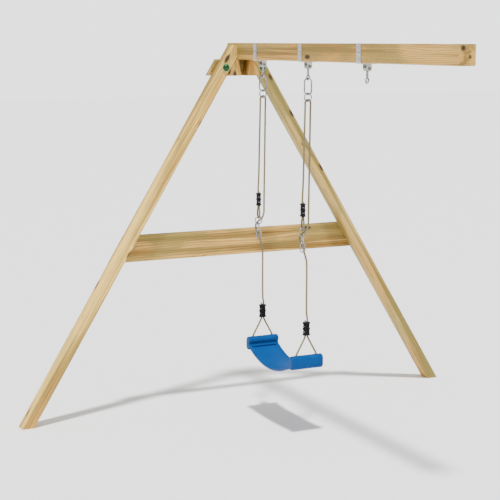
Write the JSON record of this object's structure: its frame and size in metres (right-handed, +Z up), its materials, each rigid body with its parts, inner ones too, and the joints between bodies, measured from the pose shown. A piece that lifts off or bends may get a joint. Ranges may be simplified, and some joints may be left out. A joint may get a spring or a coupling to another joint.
{
  "type": "garden swing bay",
  "caption": "Timber A-frame swing bay: beam that bolts to a tower at one end, flexible plastic seat on two height-adjustable ropes, and a spare hanger.",
  "frame": {"origin": "on the ground under the middle of the frame, half way along the beam and midway between the feet", "axes": "+X along the beam towards the tower end, +Y across the beam (the way the seat swings), +Z up"},
  "size_m": [2.283, 2.639, 2.05],
  "materials": {
    "beam_wood": "pressure-treated planed pine with olive tint",
    "leg_wood": "pressure-treated planed pine, pale yellow",
    "rear_leg_wood": "pressure-treated planed pine, olive",
    "brace_wood": "pressure-treated planed pine",
    "head_wood": "pressure-treated planed pine, warm",
    "cap_base_green": "pale green moulded plastic",
    "cap_green": "dark green glossy plastic",
    "zinc_fastener": "bright zinc",
    "galvanised_strap": "hot-dip galvanised",
    "dark_pin": "dark oiled steel",
    "nylon_bush": "natural nylon",
    "forged_steel": "zinc plated wire and forgings",
    "rope": "olive-beige three-strand rope",
    "black_plastic": "black moulded plastic",
    "blue_plastic": "blue moulded plastic, satin"
  },
  "bodies": {
    "frame": {"swing_beam": "beam_wood", "front_leg": "leg_wood", "rear_leg": "rear_leg_wood", "head_board": "head_wood", "front_corner_block": "head_wood", "rear_corner_block": "head_wood", "cross_brace": "brace_wood", "head_bolts": "zinc_fastener", "head_nuts": "zinc_fastener", "cap_bases": "cap_base_green", "bolt_caps": "cap_green", "leg_screws": "zinc_fastener", "block_screws": "zinc_fastener", "brace_screws": "zinc_fastener", "strap_left": "galvanised_strap", "strap_right": "galvanised_strap", "strap_spare": "galvanised_strap", "strap_bolts": "zinc_fastener", "strap_washers": "zinc_fastener", "strap_nuts": "zinc_fastener", "pivot_pin_left": "dark_pin", "pivot_pin_right": "dark_pin", "pivot_pin_spare": "dark_pin", "pivot_nuts": "zinc_fastener"},
    "link_left": {"pivot_bush_left": "nylon_bush", "hanger_link_left": "forged_steel"},
    "link_right": {"pivot_bush_right": "nylon_bush", "hanger_link_right": "forged_steel"},
    "link_spare": {"pivot_bush_spare": "nylon_bush", "hanger_link_spare": "forged_steel"},
    "line_left": {"snap_hook_left": "forged_steel", "gate_pin_left": "forged_steel", "top_ring_left": "forged_steel", "swing_rope_left": "rope", "bridle_tail_left": "rope", "upper_clamp_left": "black_plastic", "lower_clamp_left": "black_plastic", "clamp_screws_left": "zinc_fastener", "adjuster_links_left": "forged_steel"},
    "gate_left": {"snap_gate_left": "forged_steel"},
    "line_right": {"snap_hook_right": "forged_steel", "gate_pin_right": "forged_steel", "top_ring_right": "forged_steel", "swing_rope_right": "rope", "bridle_tail_right": "rope", "upper_clamp_right": "black_plastic", "lower_clamp_right": "black_plastic", "clamp_screws_right": "zinc_fastener", "adjuster_links_right": "forged_steel"},
    "gate_right": {"snap_gate_right": "forged_steel"},
    "seat": {"swing_seat": "blue_plastic", "seat_rope_left": "rope", "seat_rope_right": "rope"}
  },
  "joints": [
    {"name": "swing_left", "type": "hinge", "parent": "frame", "child": "link_left", "pos_m": [-0.7735, 0, 1.935], "axis": [1, 0, 0], "range_deg": [-50, 50]},
    {"name": "swing_right", "type": "hinge", "parent": "frame", "child": "link_right", "pos_m": [-0.2535, 0, 1.935], "axis": [1, 0, 0], "range_deg": [-50, 50]},
    {"name": "swing_spare", "type": "hinge", "parent": "frame", "child": "link_spare", "pos_m": [0.3345, 0, 1.935], "axis": [1, 0, 0], "range_deg": [-50, 50]},
    {"name": "sway_left", "type": "hinge", "parent": "link_left", "child": "line_left", "pos_m": [-0.7735, 0, 1.8743], "axis": [0, 1, 0], "range_deg": [-10, 10]},
    {"name": "sway_right", "type": "hinge", "parent": "link_right", "child": "line_right", "pos_m": [-0.2535, 0, 1.8743], "axis": [0, 1, 0], "range_deg": [-10, 10]},
    {"name": "gate_left", "type": "hinge", "parent": "line_left", "child": "gate_left", "pos_m": [-0.7735, -0.02, 1.8193], "axis": [1, 0, 0], "range_deg": [-25, 0], "stiffness_Nm_per_rad": 0.01, "springref_deg": 8.59},
    {"name": "gate_right", "type": "hinge", "parent": "line_right", "child": "gate_right", "pos_m": [-0.2535, -0.02, 1.8193], "axis": [1, 0, 0], "range_deg": [-25, 0], "stiffness_Nm_per_rad": 0.01, "springref_deg": 8.59},
    {"name": "seat_level", "type": "hinge", "parent": "line_left", "child": "seat", "pos_m": [-0.7735, 0, 0.4458], "axis": [0, 1, 0], "range_deg": [-10, 10]}
  ],
  "couplings": [
    {"joint": "swing_right", "follows": "swing_left", "ratio": 1},
    {"joint": "sway_right", "follows": "sway_left", "ratio": 1},
    {"joint": "seat_level", "follows": "sway_left", "ratio": -1}
  ]
}
